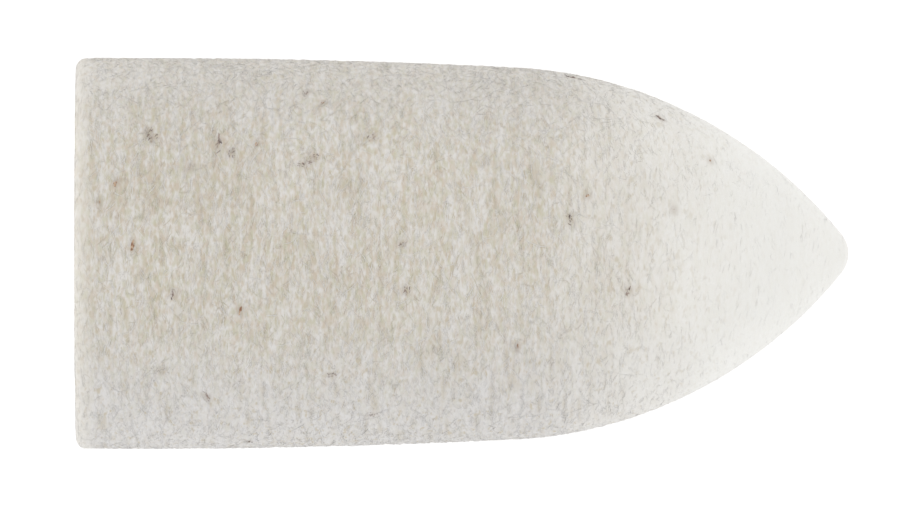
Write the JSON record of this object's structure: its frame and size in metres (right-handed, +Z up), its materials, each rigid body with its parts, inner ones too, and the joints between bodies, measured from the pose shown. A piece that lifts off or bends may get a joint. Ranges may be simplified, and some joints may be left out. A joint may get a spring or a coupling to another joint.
{
  "type": "pointed felt polishing bob",
  "caption": "Bullet-shaped pressed wool felt bob with a blunt tip and a blind pilot hole in its flat base, screwed onto a rotary tool's mandrel to carry polishing compound.",
  "frame": {"origin": "centre of the flat base, at the mouth of the pilot hole", "axes": "+X along the bob's axis from the base to the tip, +Z up as it lies on its side, +Y across"},
  "size_m": [0.0188, 0.0094, 0.0096],
  "materials": {
    "felt": "hard-pressed undyed wool felt, cream with tan mottling, ground smooth at the tip",
    "hair": "coarse dark animal hair",
    "burr": "dry brown plant flakes"
  },
  "bodies": {
    "root": {"felt_body": "felt", "kemp_hairs": "hair", "burr_specks": "burr"}
  },
  "joints": []
}
